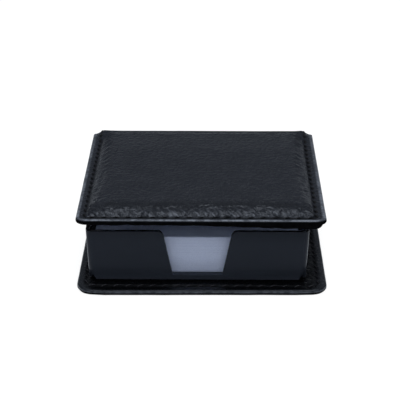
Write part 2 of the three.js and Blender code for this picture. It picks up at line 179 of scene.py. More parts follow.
def joined(pieces, name):
    """Joins these pieces to one."""
    deselected()
    for piece in pieces:
        piece.select_set(True)
    bpy.context.view_layer.objects.active = pieces[0]
    bpy.ops.object.join()
    return named(bpy.context.object, name)


def limited(share):
    """The share, kept between 0 and 1."""
    return min(max(share, 0), 1)


def eased(share):
    """The share with a soft start and a soft end."""
    return share * share * (3 - 2 * share)


def bell(distance, width):
    """1 at no distance, dying away on both sides over about this width."""
    return math.exp(-((distance / width) ** 2))


roll_radius = panel / 2
roll_path = roll_radius * math.pi / 2
roll_cells = 4
roll_fullness = 0.75
border_cells = 20
rim_reach = 4 * mm
pull_reach = 3.5 * mm
seam_break = 0.6
seam_front_share = 0.6
seam_limit = 4
least_gather = 0.15
least_pull = 0.4
pull_middle = 4 * mm
pull_spread = 26 * mm
pull_fading = 22 * mm
pull_fade_run = 20 * mm


def path_from_edge(line, beyond, cells_beyond):
    """How far the grid line of this number lies from the edge, measured over the rolled leather. The
    lines are close together round the edge and in the turned-in border."""
    border = turned_in - roll_radius
    if line <= roll_cells:
        return roll_path * line / roll_cells
    if line <= roll_cells + border_cells:
        return roll_path + border * (line - roll_cells) / border_cells
    return roll_path + border + beyond * (line - roll_cells - border_cells) / cells_beyond


def inset_of(path):
    """How far inside the panel's outline a point lies that is this far round its rolled edge."""
    if path < roll_path:
        return roll_radius * (1 - math.cos(path / roll_radius) ** roll_fullness)
    return path - roll_path + roll_radius


def inside_line(x, y, front, inset, corner_radius):
    """How far a point lies inside the line that runs at this inset round a panel's free edges."""
    side = wrap_half_width - inset - abs(x)
    ahead = y - front - inset
    radius = corner_radius - inset
    if side < radius and ahead < radius:
        return radius - math.hypot(radius - side, radius - ahead)
    return min(side, ahead)


def leather_sheet(name, front, back, face_z, other_z, corner_radius, cells):
    """One face of a panel: a fine grid whose free edges roll half way round to the other face, with its
    front corners drawn in to a round."""
    middle_cells, length_cells = cells
    columns = 2 * (roll_cells + border_cells) + middle_cells
    rows = roll_cells + border_cells + length_cells
    deselected()
    bpy.ops.mesh.primitive_grid_add(x_subdivisions=columns, y_subdivisions=rows, size=2)
    sheet_piece = named(bpy.context.object, name)
    inner_x = wrap_half_width - turned_in
    middle_z = (face_z + other_z) / 2

    def placed(co):
        column = min(round((co.x + 1) / 2 * columns), round((1 - co.x) / 2 * columns))
        row = round((co.y + 1) / 2 * rows)
        side_path = path_from_edge(column, inner_x, middle_cells / 2)
        front_path = path_from_edge(row, back - front - turned_in, length_cells)
        from_side = inset_of(side_path)
        from_front = inset_of(front_path)
        nearest = min(side_path, front_path)
        height = roll_radius * math.sin(min(nearest / roll_radius, math.pi / 2)) ** roll_fullness
        if from_side < corner_radius and from_front < corner_radius:
            side = corner_radius - from_side
            ahead = corner_radius - from_front
            drawn = max(side, ahead) / max(math.hypot(side, ahead), 1e-9)
            from_side = corner_radius - side * drawn
            from_front = corner_radius - ahead * drawn
        x = math.copysign(wrap_half_width - from_side, co.x)
        return Vector((x, front + from_front, middle_z + math.copysign(height, face_z - other_z)))

    move_points(sheet_piece, placed)
    return sheet_piece


def flat_slab(name, front, back, outer_z, inner_z, corner_radius, cells):
    """A leather panel before it is folded: its outer and inner faces, joined round the rolled edge and
    open at the back."""
    outer = leather_sheet(name, front, back, outer_z, inner_z, corner_radius, cells)
    inner = leather_sheet(name + "_inside", front, back, inner_z, outer_z, corner_radius, cells)
    slab = joined([outer, inner], name)
    bpy.ops.object.mode_set(mode="EDIT")
    bpy.ops.mesh.select_all(action="SELECT")
    bpy.ops.mesh.remove_doubles(threshold=1e-6)
    bpy.ops.mesh.normals_make_consistent(inside=False)
    finish_edit()
    return slab


def folded(piece, fold_y, radius, outer_z, up):
    """Rolls what lies behind the fold line round the fold and along the spine. The laminate is thinnest
    in the middle of the fold, where there is no board in it."""
    arc = radius * math.pi / 2

    def rolled(co):
        behind = co.y - fold_y
        if behind <= 0:
            return co
        depth = up * (co.z - outer_z)
        if behind < arc:
            angle = behind / radius
            thinned = 1 - (1 - fold_leather / panel) * math.sin(2 * angle)
            reach = radius - depth * thinned
            y = fold_y + reach * math.sin(angle)
            return Vector((co.x, y, outer_z + up * (radius - reach * math.cos(angle))))
        return Vector((co.x, fold_y + radius - depth, outer_z + up * (radius + behind - arc)))

    move_points(piece, rolled)


class SewnRow:
    """The line of a panel's stitches, before it is folded: up one side, across the front and back down
    the other. On the spine its inset changes to meet the other panel's row."""

    def __init__(self, front, fold, end, inset, corner_radius):
        self.front = front
        self.fold = fold
        self.end = end
        self.inset = inset
        self.corner_radius = corner_radius
        self.radius = corner_radius - inset

    def inset_at(self, y):
        share = limited((y - self.fold) / (self.end - self.fold))
        return self.inset + (middle_row_inset - self.inset) * share

    def inside(self, x, y):
        return inside_line(x, y, self.front, self.inset_at(y), self.corner_radius)

    def travelled(self, x, y):
        """The distance along the row, from the middle of the front to the place beside this point."""
        corner_x = wrap_half_width - self.inset - self.radius
        side = abs(x) - corner_x
        ahead = self.front + self.inset + self.radius - y
        if side <= 0:
            return abs(x)
        if ahead <= 0:
            return corner_x + self.radius * math.pi / 2 - ahead
        return corner_x + self.radius * math.atan2(side, ahead)

    def line(self):
        """Close points along the right half of the row, from the middle of the front to the end."""
        corner_x = wrap_half_width - self.inset - self.radius
        corner_y = self.front + self.inset + self.radius
        points = []
        for step in range(front_steps):
            points.append(Vector((corner_x * step / front_steps, corner_y - self.radius)))
        for step in range(corner_steps):
            angle = math.pi / 2 * step / corner_steps
            turned = Vector((math.sin(angle), -math.cos(angle))) * self.radius
            points.append(Vector((corner_x, corner_y)) + turned)
        for step in range(side_steps + 1):
            y = corner_y + (self.end - corner_y) * step / side_steps
            points.append(Vector((wrap_half_width - self.inset_at(y), y)))
        return points

    def stitches(self):
        """Place and direction of each stitch, at an even pitch outwards from the middle of the front."""
        found = []
        travelled = 0
        wanted = 0
        points = self.line()
        for here, there in zip(points, points[1:]):
            step = there - here
            while wanted <= travelled + step.length:
                place = here + step.normalized() * (wanted - travelled)
                found.append((place, math.atan2(step.y, step.x)))
                wanted += stitch_pitch
            travelled += step.length
        mirrored = [(Vector((-place.x, place.y)), -angle) for place, angle in found[1:]]
        return [pair for pair in found + mirrored if pair[0].y < self.end - stitch_pitch / 3]


def sewn_channel(piece, row, outer_z, inner_z):
    """Draws the leather in along the sewn row, on both faces, as the tight thread does. Beside the fold
    it is stretched and less of it is drawn in."""
    middle = (outer_z + inner_z) / 2

    def drawn(co):
        stretched = max(0, 1 - abs(co.y - row.fold) / stretch_reach)
        pull = row_channel_depth * (1 - stretch_share * stretched)
        pull *= bell(row.inside(co.x, co.y), row_channel_width)
        return Vector((co.x, co.y, co.z - math.copysign(pull, co.z - middle)))

    move_points(piece, drawn)


def uneven(piece, size, height, seed):
    """Leaves the hand-glued leather a little uneven: points move along their normal by a soft noise."""
    shift = Vector((seed, seed, seed))
    normals = [point.normal.copy() for point in piece.data.vertices]
    for point, normal in zip(piece.data.vertices, normals):
        point.co += normal * height * noise.noise(point.co / size + shift)
    piece.data.update()


def ridged_corners(piece, front, corner_radius, inner_z, height):
    """Gathers the turned-in leather into two low ridges that run round each front corner."""

    def gathered(co):
        side = abs(co.x) - (wrap_half_width - corner_radius)
        ahead = front + corner_radius - co.y
        if side <= 0 or ahead <= 0 or abs(co.z - inner_z) > 0.9 * mm:
            return co
        inside = corner_radius - math.hypot(side, ahead)
        ends = math.sin(2 * math.atan2(ahead, side)) ** 0.5
        ridges = sum(bell(inside - place, ridge_width) for place in ridge_places)
        return Vector((co.x, co.y, co.z + height * ends * ridges))

    move_points(piece, gathered)


def note(piece, name, reader):
    """Keeps a number for each point of the leather, for its material to read."""
    values = piece.data.attributes.new(name, "FLOAT", "POINT").data
    for point, value in zip(piece.data.vertices, values):
        value.value = reader(point.co)


def measured(piece, row, middle_z, reach, least):
    """Notes in millimetres how far each point lies round the rolled edge, negative below its middle, and
    how far from the sewn row, a little more between two stitches. Notes also how strongly it is wrinkled:
    most inside the row, and drawn aslant beside the front."""

    def rim(co):
        inside = inside_line(co.x, co.y, row.front, 0, row.corner_radius)
        height = abs(co.z - middle_z) / roll_radius
        path = roll_path + inside - roll_radius
        if inside < roll_radius:
            path = roll_radius * math.atan2(height, 1 - inside / roll_radius)
        return math.copysign(min(path, rim_reach), co.z - middle_z) / mm

    def seam(co):
        between = 0.5 - 0.5 * math.cos(2 * math.pi * row.travelled(co.x, co.y) / stitch_pitch)
        broken = seam_break * (1 - seam_front_share * frontness(co, row))
        return min(abs(row.inside(co.x, co.y)) / mm + broken * between, seam_limit)

    def gather(co):
        inside = row.inside(co.x, co.y)
        wrinkled = least + (1 - least) * math.exp(-abs(inside) / reach)
        return max(least_gather, wrinkled + min(1.2 * inside / row.inset, 0))

    def pulled(co):
        inside = row.inside(co.x, co.y)
        beside_front = co.y - row.front < wrap_half_width - abs(co.x)
        if inside < 0 or not beside_front:
            return 0
        strength = least_pull + (1 - least_pull) * bell(co.x - pull_middle, pull_spread)
        strength *= 1 - 0.5 * limited((co.x - pull_fading) / pull_fade_run)
        return strength * math.exp(-inside / pull_reach) * min(inside / mm, 1)

    note(piece, "rim", rim)
    note(piece, "pulled", pulled)
    note(piece, "seam", seam)
    note(piece, "gather", gather)


def frontness(co, row):
    """1 beside the front edge, 0 beside the side edges, and between them round a front corner."""
    side = wrap_half_width - abs(co.x)
    ahead = co.y - row.front
    if side < row.corner_radius and ahead < row.corner_radius:
        return math.atan2(row.corner_radius - ahead, row.corner_radius - side) / (math.pi / 2)
    return 1 if ahead < side else 0


def cut_window(slab, front, inner_z, lining_name):
    """Cuts the lining's window out of the turned-in side. What is cut out becomes the lining."""
    inner_x = wrap_half_width - turned_in

    def in_window(middle, normal):
        on_inner = abs(middle.z - inner_z) < 0.5 * mm and abs(normal.z) > 0.7
        return on_inner and abs(middle.x) < inner_x and middle.y > front + turned_in

    pick_faces(slab, in_window)
    bpy.ops.mesh.separate(type="SELECTED")
    finish_edit()
    lining = [o for o in bpy.context.selected_objects if o is not slab][0]
    named(lining, lining_name)
    return lining


# The patterns' scales are cells per metre.
pull_turn = math.radians(40)
pull_stretch = (1, 6, 2)
pull_depth = 0.8 * mm
warp_scale = 260
warp_reach = (3 * mm, 3 * mm, 3 * mm)
wrinkle_scale = 310
grain_scale = 1150
patch_scale = 110
streak_scale = 900
highlight_break_scale = 420
# The base's tones are darker than the lid's pad_black and pad_worn, though it is the same leather: painted
# shade, for the shade that the lid and the tray cast over the base.
leather_black = (0.0040, 0.0045, 0.0060, 1)
leather_worn = (0.0050, 0.0058, 0.0078, 1)
# Painted highlight colour for the rolled edge and the pulled folds' ridges, partly standing for wear from
# rubbing.
leather_rub_highlight = (0.14, 0.153, 0.18, 1)
# A black that paints shade into the sewn row and other shaded places.
leather_painted_shade = (0.0008, 0.0008, 0.0010, 1)


def grey(level):
    return (level, level, level, 1)


class Look:
    """A material in the making. An input is fed with a plain value or with another node's output."""

    def __init__(self, name):
        self.material = bpy.data.materials.new(name)
        self.material.use_nodes = True
        self.material.node_tree.nodes.clear()
        self.shader = self.node("BsdfPrincipled")
        self.node("OutputMaterial", {"Surface": self.shader.outputs["BSDF"]})

    def feed(self, node, inputs):
        for name, source in inputs.items():
            if isinstance(source, bpy.types.NodeSocket):
                self.material.node_tree.links.new(source, node.inputs[name])
            else:
                node.inputs[name].default_value = source

    def node(self, kind, inputs=None, **settings):
        made = self.material.node_tree.nodes.new("ShaderNode" + kind)
        for name, value in settings.items():
            setattr(made, name, value)
        self.feed(made, inputs or {})
        return made

    def made(self, inputs):
        """Feeds the shader and hands over the material."""
        self.feed(self.shader, inputs)
        return self.material

    def place(self):
        """The piece's own coordinates."""
        return self.node("TexCoord").outputs["Object"]

    def height(self):
        return self.node("SeparateXYZ", {"Vector": self.place()}).outputs["Z"]

    def noted(self, name):
        return self.node("Attribute", attribute_name=name).outputs["Fac"]

    def noise(self, place, scale, detail, roughness=0.5):
        inputs = {"Vector": place, "Scale": scale, "Detail": detail, "Roughness": roughness}
        return self.node("TexNoise", inputs).outputs["Fac"]

    def cells(self, place, scale, feature="F1"):
        inputs = {"Vector": place, "Scale": scale}
        return self.node("TexVoronoi", inputs, feature=feature).outputs["Distance"]

    def ramp(self, factor, *stops):
        """A ramp through these stops, each a place and either a colour or a level of grey."""
        node = self.node("ValToRGB", {"Fac": factor})
        elements = node.color_ramp.elements
        while len(elements) < len(stops):
            elements.new(1)
        for element, (place, colour) in zip(elements, stops):
            element.position = place
            element.color = colour if isinstance(colour, tuple) else grey(colour)
        return node.outputs["Color"]

    def calculated(self, operation, *values, clamp=False):
        node = self.node("Math", dict(enumerate(values)), operation=operation, use_clamp=clamp)
        return node.outputs["Value"]

    def mixed(self, factor, first, second):
        return self.node("MixRGB", {"Fac": factor, "Color1": first, "Color2": second}).outputs["Color"]

    def bump(self, height, distance, strength, under=None):
        """Relief of this depth, over the relief under it."""
        inputs = {"Height": height, "Distance": distance, "Strength": strength}
        if under is not None:
            inputs["Normal"] = under
        return self.node("Bump", inputs).outputs["Normal"]


def leather_material(name, tones, depths, roughness, rim_highlight):
    """Imitation leather: a fine pebble grain inside a net of faint wrinkles that come and go, with slanted
    folds where it was pulled, whose ridges carry a painted glint. The satin skin is a little duller in the
    grain's hollows. A pale colour is painted along the rolled edge by the rim stops, given as (millimetres
    round the edge, amount): partly wear from rubbing, mostly a painted highlight. It is painted black as
    painted shade and made matt along the sewn row, and painted black where painted shade is noted."""
    look = Look(name)
    place = look.place()
    warp = look.noise(place, warp_scale, 3).node.outputs["Color"]
    bent = look.node("VectorMath", {0: warp, 1: warp_reach, 2: place}, operation="MULTIPLY_ADD")

    def net(scale):
        distance = look.cells(bent.outputs["Vector"], scale, "DISTANCE_TO_EDGE")
        return look.ramp(distance, (0.0, 0), (0.34, 1))

    grain = net(grain_scale)
    broad = look.noise(place, patch_scale, 3)
    creased = look.mixed(look.ramp(broad, (0.35, 0.55), (0.60, 1)), grey(1), net(wrinkle_scale))
    stretch = {"Vector": place, "Rotation": (0, 0, pull_turn), "Scale": pull_stretch}
    slanted = look.node("Mapping", stretch, vector_type="TEXTURE").outputs["Vector"]
    streaks = look.noise(slanted, streak_scale, 2)
    pulled = look.noted("pulled")
    relief = look.bump(look.calculated("MULTIPLY", creased, look.noted("gather")), depths[0], 1)
    relief = look.bump(look.calculated("MULTIPLY", streaks, pulled), pull_depth, 1, relief)
    relief = look.bump(grain, depths[1], 1, relief)

    # Painted highlight along the rolled edge, partly wear from rubbing, broken up by noise and scaled by
    # the noted share.
    reach = rim_reach / mm
    round_edge = look.calculated("MULTIPLY_ADD", look.noted("rim"), 0.5 / reach, 0.5)
    along_rim = look.ramp(round_edge, *[((at + reach) / (2 * reach), level) for at, level in rim_highlight])
    highlight_breaks = look.ramp(look.noise(place, highlight_break_scale, 3), (0.38, 0.3), (0.60, 1))
    amount = look.calculated("MULTIPLY", along_rim, highlight_breaks)
    amount = look.calculated("MULTIPLY", amount, look.noted("wear_and_highlight"), clamp=True)
    # Painted glint: a pale colour on the ridges of the pulled folds, a painted highlight.
    painted_glints = look.calculated("MULTIPLY", look.ramp(streaks, (0.52, 0), (0.64, 0.85)), pulled)
    amount = look.calculated("MAXIMUM", amount, painted_glints)
    # Painted shade: black in the sewn row's channel and wherever painted shade is noted.
    in_row = look.ramp(look.noted("seam"), (0.50, 1), (1.0, 0))
    shade_paint_mask = look.calculated("MAXIMUM", in_row, look.noted("painted_shade"))

    tone = look.ramp(broad, (0.3, tones[0]), (0.7, tones[1]))
    rubbed_and_highlit = look.mixed(amount, tone, leather_rub_highlight)
    rough = look.ramp(grain, (0.0, roughness + 0.12), (1.0, roughness))
    return look.made({
        "Base Color": look.mixed(shade_paint_mask, rubbed_and_highlit, leather_painted_shade),
        "Roughness": look.mixed(in_row, rough, grey(0.8)),
        "Normal": relief,
        "Specular IOR Level": 0.18,
        "Specular Tint": (0.82, 0.88, 1, 1),
    })


# How far up the rolled edge the edge paint reaches, which stands for the shade under the edge.
paint_line = 0.75
front_paint_line = -0.15
# Painted highlight for the base: a pale line round the middle of the edge's roll, and a faint lighter strip
# along the border.
base_rim_highlight = [(-0.5, 0), (-0.1, 1), (0.5, 1), (0.9, 0.2), (3.6, 0.2), (3.9, 0)]
# The base's darker copy of the leather, painted shade.
shaded_wrap_leather = leather_material(
    "shaded_wrap_leather", (leather_black, leather_worn), (0.24 * mm, 0.026 * mm), 0.25, base_rim_highlight
)


def two_tone(name, grain, dark, light, roughness, relief=None, specular=0.5, stops=(0.3, 0.7)):
    """A matt material of two colours, mixed by a noise of this scale, detail and roughness. The noise
    also gives its relief, as a depth and a strength."""
    look = Look(name)
    mix = look.noise(look.place(), *grain)
    inputs = {
        "Base Color": look.ramp(mix, (stops[0], dark), (stops[1], light)),
        "Roughness": roughness,
        "Specular IOR Level": specular,
    }
    if relief:
        inputs["Normal"] = look.bump(mix, *relief)
    return look.made(inputs)


# Near-black, matt edge paint under the rolled edge: partly the sealed cut, mostly painted shade that
# keeps the under edge black.
edge_paint_and_shade = two_tone(
    "edge_paint_and_shade", (700, 3), (0.0008, 0.0008, 0.0010, 1), (0.0040, 0.0042, 0.0050, 1),
    roughness=0.9, relief=(0.15 * mm, 0.6), specular=0.02, stops=(0.35, 0.75),
)


def dress(piece, look):
    piece.data.materials.clear()
    piece.data.materials.append(look)


def paint_edge(piece, highest):
    """Paints the rolled edge's lower faces with the edge paint, which stands for their shade, up to the
    place that highest gives for each face's middle.
    """
    piece.data.materials.append(edge_paint_and_shade)
    rim = [value.value for value in piece.data.attributes["rim"].data]
    for face in piece.data.polygons:
        middle = sum(rim[index] for index in face.vertices) / len(face.vertices)
        if -roll_path / mm < middle < highest(face.center):
            face.material_index = 1


def base_painted_shade(co):
    """Painted shade: the base's leather is painted black in front of the tray and, beside it, inside the
    sewn row, where the lid and the tray shade it.
    """
    at_front = frontness(co, lower_row)
    rolled = inside_line(co.x, co.y, lower_row.front, 0, base_corner_radius) - 0.6 * roll_radius
    in_front = limited(rolled / front_shade_edge)
    beside = min(limited(lower_row.inside(co.x, co.y) / side_shade_edge), side_shade)
    return at_front * in_front + (1 - at_front) * beside


def spread(co):
    """The hand-cut wrap reaches a little further out than its board: most on the right and at the left
    end of the front."""
    border = limited((abs(co.x) - wrap_half_width + turned_in - mm) / spread_border)
    before_fold = limited((base_high.y - co.y) / spread_run)
    sideways = right_spread if co.x > 0 else -left_spread
    ahead = limited((base_front + base_row_inset - co.y) / spread_hem)
    forwards = front_spread - front_skew * co.x / wrap_half_width
    forwards *= 1 - 0.7 * limited((abs(co.x) - corner_start) / corner_run)
    return Vector((co.x + sideways * border * before_fold, co.y - forwards * ahead, co.z))


lower_radius = lower_fold_high.z
lower_arc = lower_radius * math.pi / 2
base_front = base_low.y
lower_end = base_high.y + lower_arc + middle_of_spine - lower_fold_high.z
lower_leather = flat_slab("lower_leather", base_front, lower_end, 0, panel, base_corner_radius, (54, 88))
lower_row = SewnRow(base_front, base_high.y, lower_end, base_row_inset, base_corner_radius)
measured(lower_leather, lower_row, panel / 2, 8 * mm, 0.5)
# Half strength of the painted edge highlight and wear on the base.
note(lower_leather, "wear_and_highlight", lambda co: 0.5)
note(lower_leather, "painted_shade", base_painted_shade)
sewn_channel(lower_leather, lower_row, 0, panel)
ridged_corners(lower_leather, base_front, base_corner_radius, panel, ridge_height)
move_points(lower_leather, spread)
lower_lining = cut_window(lower_leather, base_front, panel, "lower_lining")
for sheet_piece in (lower_leather, lower_lining):
    folded(sheet_piece, base_high.y, lower_radius, 0, 1)
uneven(lower_leather, wave_size, 0.10 * mm, 3)
move_points(lower_leather, on_desk)
apply_modifier(lower_leather, "SOLIDIFY", thickness=leather_thickness, offset=-1)
smooth(lower_leather, 50)
dress(lower_leather, shaded_wrap_leather)
behind_corner = base_front + base_corner_radius
paint_edge(lower_leather, lambda place: paint_line if place.y > behind_corner else front_paint_line)
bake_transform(lower_leather)
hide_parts("base_cover", "lower_fold", "spine_cover")


# Lower stitches
# Black twisted thread, sewn right through the panel on its three free edges. Each stitch lies a little
# aslant in its channel and dips into a needle hole at both ends.

stitch_length = 3.5 * mm
stitch_width = 0.62 * mm
stitch_height = 0.5 * mm
stitch_slant = math.radians(26)
stitch_twists = 1.5
stitch_point = 0.12
stitch_flatness = 0.62
stitch_dip = 0.55
stitch_wobble = 0.06
stitch_lift = 0.1 * mm


def one_stitch():
    """A length of two-ply thread along X, pointed and bent down at its ends."""
    deselected()
    bpy.ops.mesh.primitive_cylinder_add(vertices=8, radius=1, depth=2, rotation=(0, math.pi / 2, 0))
    piece = named(bpy.context.object, "one_stitch")
    bpy.ops.object.transform_apply(location=True, rotation=True, scale=True)
    bpy.ops.object.mode_set(mode="EDIT")
    for ring in range(1, 10):
        bpy.ops.mesh.select_all(action="SELECT")
        bpy.ops.mesh.bisect(plane_co=(ring / 5 - 1, 0, 0), plane_no=(1, 0, 0))
    finish_edit()

    def spun(co):
        share = co.x
        thick = max(1 - abs(share) ** 3, stitch_point)
        angle = stitch_twists * math.pi * share
        y = co.y * math.cos(angle) - stitch_flatness * co.z * math.sin(angle)
        z = co.y * math.sin(angle) + stitch_flatness * co.z * math.cos(angle)
        dip = stitch_dip * abs(share) ** 2.5 * stitch_height
        z = z * thick * stitch_height / 2 - dip
        return Vector((share * stitch_length / 2, y * thick * stitch_width / 2, z))

    move_points(piece, spun)
    return piece


def sewn(name, row, outer_z, inner_z, inner_lift):
    """A stitch at every place of the row, on the outer face and on the inner one."""
    stitch = one_stitch()
    turned_over = Matrix.Rotation(math.pi, 4, "X")
    copies = []
    sides = ((outer_z, outer_z - inner_z, stitch_lift), (inner_z, inner_z - outer_z, inner_lift))
    for face_z, away, lift in sides:
        upright = Matrix.Identity(4) if away > 0 else turned_over
        for place, angle in row.stitches():
            copy = copy_of(stitch)
            wobble = random.uniform(-stitch_wobble, stitch_wobble)
            copy.data.transform(
                Matrix.Translation((place.x, place.y, face_z + lift * math.copysign(1, away)))
                @ Matrix.Rotation(angle + stitch_slant + wobble, 4, "Z")
                @ upright
            )
            copies.append(copy)
    bpy.data.objects.remove(stitch)
    return joined(copies, name)


def thread_material(name, dark, light):
    return two_tone(
        name, (4000, 3, 0.6), (dark, dark, 1.2 * dark, 1), (light, light, 1.2 * light, 1),
        roughness=0.5, relief=(0.05 * mm, 0.6), specular=0.12,
    )


random.seed(5)
# The base's thread is lighter than the lid's, the same thread: a painted highlight for the bright dashes of
# its sheen.
highlighted_thread = thread_material("highlighted_thread", 0.022, 0.042)
lower_stitches = sewn("lower_stitches", lower_row, 0, panel, stitch_lift)
move_points(lower_stitches, spread)
folded(lower_stitches, base_high.y, lower_radius, 0, 1)
move_points(lower_stitches, on_desk)
smooth(lower_stitches, 60)
dress(lower_stitches, highlighted_thread)
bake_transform(lower_stitches)
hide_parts("base_thread", "spine_thread_left", "spine_thread_right")


# Lower lining
# A thinner black sheet, glued over the turned-in leather's window: it covers the base board under the
# tray, the fold and the lower half of the spine's inner face.

lining_gap = 0.15 * mm
lining_black = (0.0050, 0.0054, 0.0068, 1)
lining_worn = (0.0070, 0.0075, 0.0092, 1)
wrap_lining = leather_material(
    "wrap_lining", (lining_black, lining_worn), (0.01 * mm, 0.015 * mm), 0.42, [(0, 0), (1, 0)]
)
apply_modifier(lower_lining, "SOLIDIFY", thickness=leather_thickness - lining_gap, offset=-1)
smooth(lower_lining, 50)
dress(lower_lining, wrap_lining)
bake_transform(lower_lining)
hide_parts("base_lining", "spine_lining")


# Boards
# Raw greyboard, cut to the panels' size. The leather and the lining hide it.

def paint_node(name, look):
    """Gives its material to a CAD node that stays as it is."""
    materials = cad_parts[name].data.materials
    materials.clear()
    materials.append(look)


raw_greyboard = two_tone(
    "raw_greyboard", (900, 6, 0.7), (0.22, 0.20, 0.17, 1), (0.34, 0.31, 0.27, 1),
    roughness=0.95, relief=(0.1 * mm, 0.5),
)
for board_name in ("base_board", "spine_board", "lid_board"):
    paint_node(board_name, raw_greyboard)


# Tray
# Moulded black polystyrene in one shot: drafted walls, a round foot, and a notch in the front wall for
# a finger. It is stuck to the base flap with two strips of tape.

tray_low, tray_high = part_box("tray")
tray_wall = 2 * mm
tray_floor = 2.3 * mm
tray_draft = 0.9 * mm
tray_corner = 3.2 * mm
tray_foot = 0.25 * mm
ball_height = 6.5 * mm
ball_pull = 2.9 * mm
ball_cuts = 6
tray_floor_fillet = 0.4 * mm
tray_rim = 0.35 * mm
notch_top_width = 30.6 * mm
notch_sill_width = 22 * mm
notch_rim_radius = 2.6 * mm
notch_sill_radius = 1 * mm
# Painted fill light: the lowest part of the walls is painted lighter, up to this height.
fill_paint_height = 6 * mm
plastic_painted_fill = (0.066, 0.077, 0.104, 1)
tray_centre = (tray_low + tray_high) / 2
tray_size = tray_high - tray_low
notch_x = tray_centre.x


def box(name, low, high):
    """A cube primitive at its size and place."""
    deselected()
    bpy.ops.mesh.primitive_cube_add(size=1, location=(low + high) / 2, scale=high - low)
    piece = named(bpy.context.object, name)
    bpy.ops.object.transform_apply(location=True, rotation=True, scale=True)
    return piece


def round_edges(piece, test, radius, segments):
    """Rounds the edges that pass the test."""
    pick_edges(piece, test)
    bpy.ops.mesh.bevel(offset=radius, segments=segments, clamp_overlap=False)
    finish_edit()


def pull_up(z):
    """Extrudes the picked faces or edges upwards by this much."""
    bpy.ops.mesh.extrude_region_move(TRANSFORM_OT_translate={"value": (0, 0, z)})


def scale_picked(x, y, centre):
    bpy.ops.transform.resize(value=(x, y, 1), center_override=centre)


def ball_cornered(co):
    """Draws the upright corners in towards the foot, so that they end as part of a ball."""
    height = max((co.z - tray_low.z) / ball_height, 0)
    if height >= 1:
        return co
    draft = tray_draft * (1 - (co.z - tray_low.z) / tray_size.z)
    from_centre = co - tray_centre
    side = abs(from_centre.x) - (tray_size.x / 2 - draft - tray_corner)
    ahead = abs(from_centre.y) - (tray_size.y / 2 - draft - tray_corner)
    if side <= 0 or ahead <= 0:
        return co
    pull = ball_pull * math.sin(2 * math.atan2(ahead, side)) * (1 - math.sqrt(1 - (1 - height) ** 2))
    share = pull / tray_corner
    x = co.x - math.copysign(side * share, from_centre.x)
    return Vector((x, co.y - math.copysign(ahead * share, from_centre.y), co.z))


def made_tray():
    tray = box("moulded_tray", tray_low, tray_high)
    pick_faces(tray, lambda middle, normal: normal.z < -0.9)
    foot_centre = (tray_centre.x, tray_centre.y, tray_low.z)
    scale_picked(1 - 2 * tray_draft / tray_size.x, 1 - 2 * tray_draft / tray_size.y, foot_centre)
    finish_edit()
    pick_edges(tray, lambda near, far: abs(near.z - far.z) > 5 * mm)
    bpy.ops.mesh.bevel(offset=tray_corner, segments=10, clamp_overlap=False)
    for cut in range(1, ball_cuts + 1):
        height = tray_low.z + ball_height * cut / ball_cuts
        bpy.ops.mesh.select_all(action="SELECT")
        bpy.ops.mesh.bisect(plane_co=(0, 0, height), plane_no=(0, 0, 1))
    finish_edit()
    move_points(tray, ball_cornered)
    at_foot = tray_low.z + 1e-5
    round_edges(tray, lambda near, far: near.z < at_foot and far.z < at_foot, tray_foot, 5)
    pick_faces(tray, lambda middle, normal: normal.z > 0.9 and middle.z > tray_high.z - 1e-5)
    bpy.ops.mesh.inset(thickness=tray_wall)
    pull_up(tray_floor - tray_size.z)
    inner = tray_size.x - 2 * tray_wall
    share = 1 - 2 * tray_draft / inner
    scale_picked(share, share, (tray_centre.x, tray_centre.y, tray_low.z + tray_floor))
    bpy.ops.mesh.bevel(offset=tray_floor_fillet, segments=3, clamp_overlap=False)
    finish_edit()
    return tray


def notch_cutter():
    """A wedge as wide as the notch, its lower corners round and its upper ones flared into the rim."""
    above = 6 * mm
    sill_z = tray_low.z + tray_floor
    cutter = box(
        "notch_cutter",
        Vector((notch_x - notch_sill_width / 2, tray_low.y - 5 * mm, sill_z)),
        Vector((notch_x + notch_sill_width / 2, tray_low.y + 8 * mm, tray_high.z)),
    )
    pick_faces(cutter, lambda middle, normal: normal.z > 0.9)
    scale_picked(notch_top_width / notch_sill_width, 1, (notch_x, tray_low.y, tray_high.z))
    pull_up(above)
    scale_picked(3, 1, (notch_x, tray_low.y, tray_high.z + above))
    finish_edit()
    for z, radius, segments in ((sill_z, notch_sill_radius, 5), (tray_high.z, notch_rim_radius, 8)):

        def along_y_at_z(near, far):
            return abs(near.z - z) < 1e-5 and abs(far.z - z) < 1e-5 and abs(near.y - far.y) > mm

        round_edges(cutter, along_y_at_z, radius, segments)
    return cutter


def cut_with(piece, cutter):
    apply_modifier(piece, "BOOLEAN", operation="DIFFERENCE", object=cutter, solver="EXACT")
    bpy.data.objects.remove(cutter)


moulded_tray = made_tray()
cut_with(moulded_tray, notch_cutter())
apply_modifier(
    moulded_tray, "BEVEL",
    width=tray_rim, segments=3, limit_method="ANGLE", angle_limit=math.radians(50), use_clamp_overlap=True,
)
smooth(moulded_tray, 35)


def plastic_material():
    """Satin black, painted lighter on the lowest part of the walls as painted fill light."""
    look = Look("moulded_black")
    place = look.place()
    flow = look.noise(place, 30, 3)
    tone = look.ramp(flow, (0.3, (0.0215, 0.0255, 0.0350, 1)), (0.7, (0.0240, 0.0280, 0.0380, 1)))
    # Painted fill light, strongest at the foot.
    above = look.calculated("SUBTRACT", look.height(), tray_low.z)
    share = look.calculated("DIVIDE", above, fill_paint_height)
    painted_fill = look.ramp(share, (0.0, 0.8), (0.2, 0.42), (0.45, 0.15), (1.0, 0))
    return look.made({
        "Base Color": look.mixed(painted_fill, tone, plastic_painted_fill),
        "Roughness": look.ramp(flow, (0.3, 0.17), (0.7, 0.22)),
        "Normal": look.bump(look.noise(place, 2600, 2), 0.01 * mm, 0.4),
        "Specular IOR Level": 0.06,
        "Specular Tint": (0.86, 0.92, 1, 1),
    })


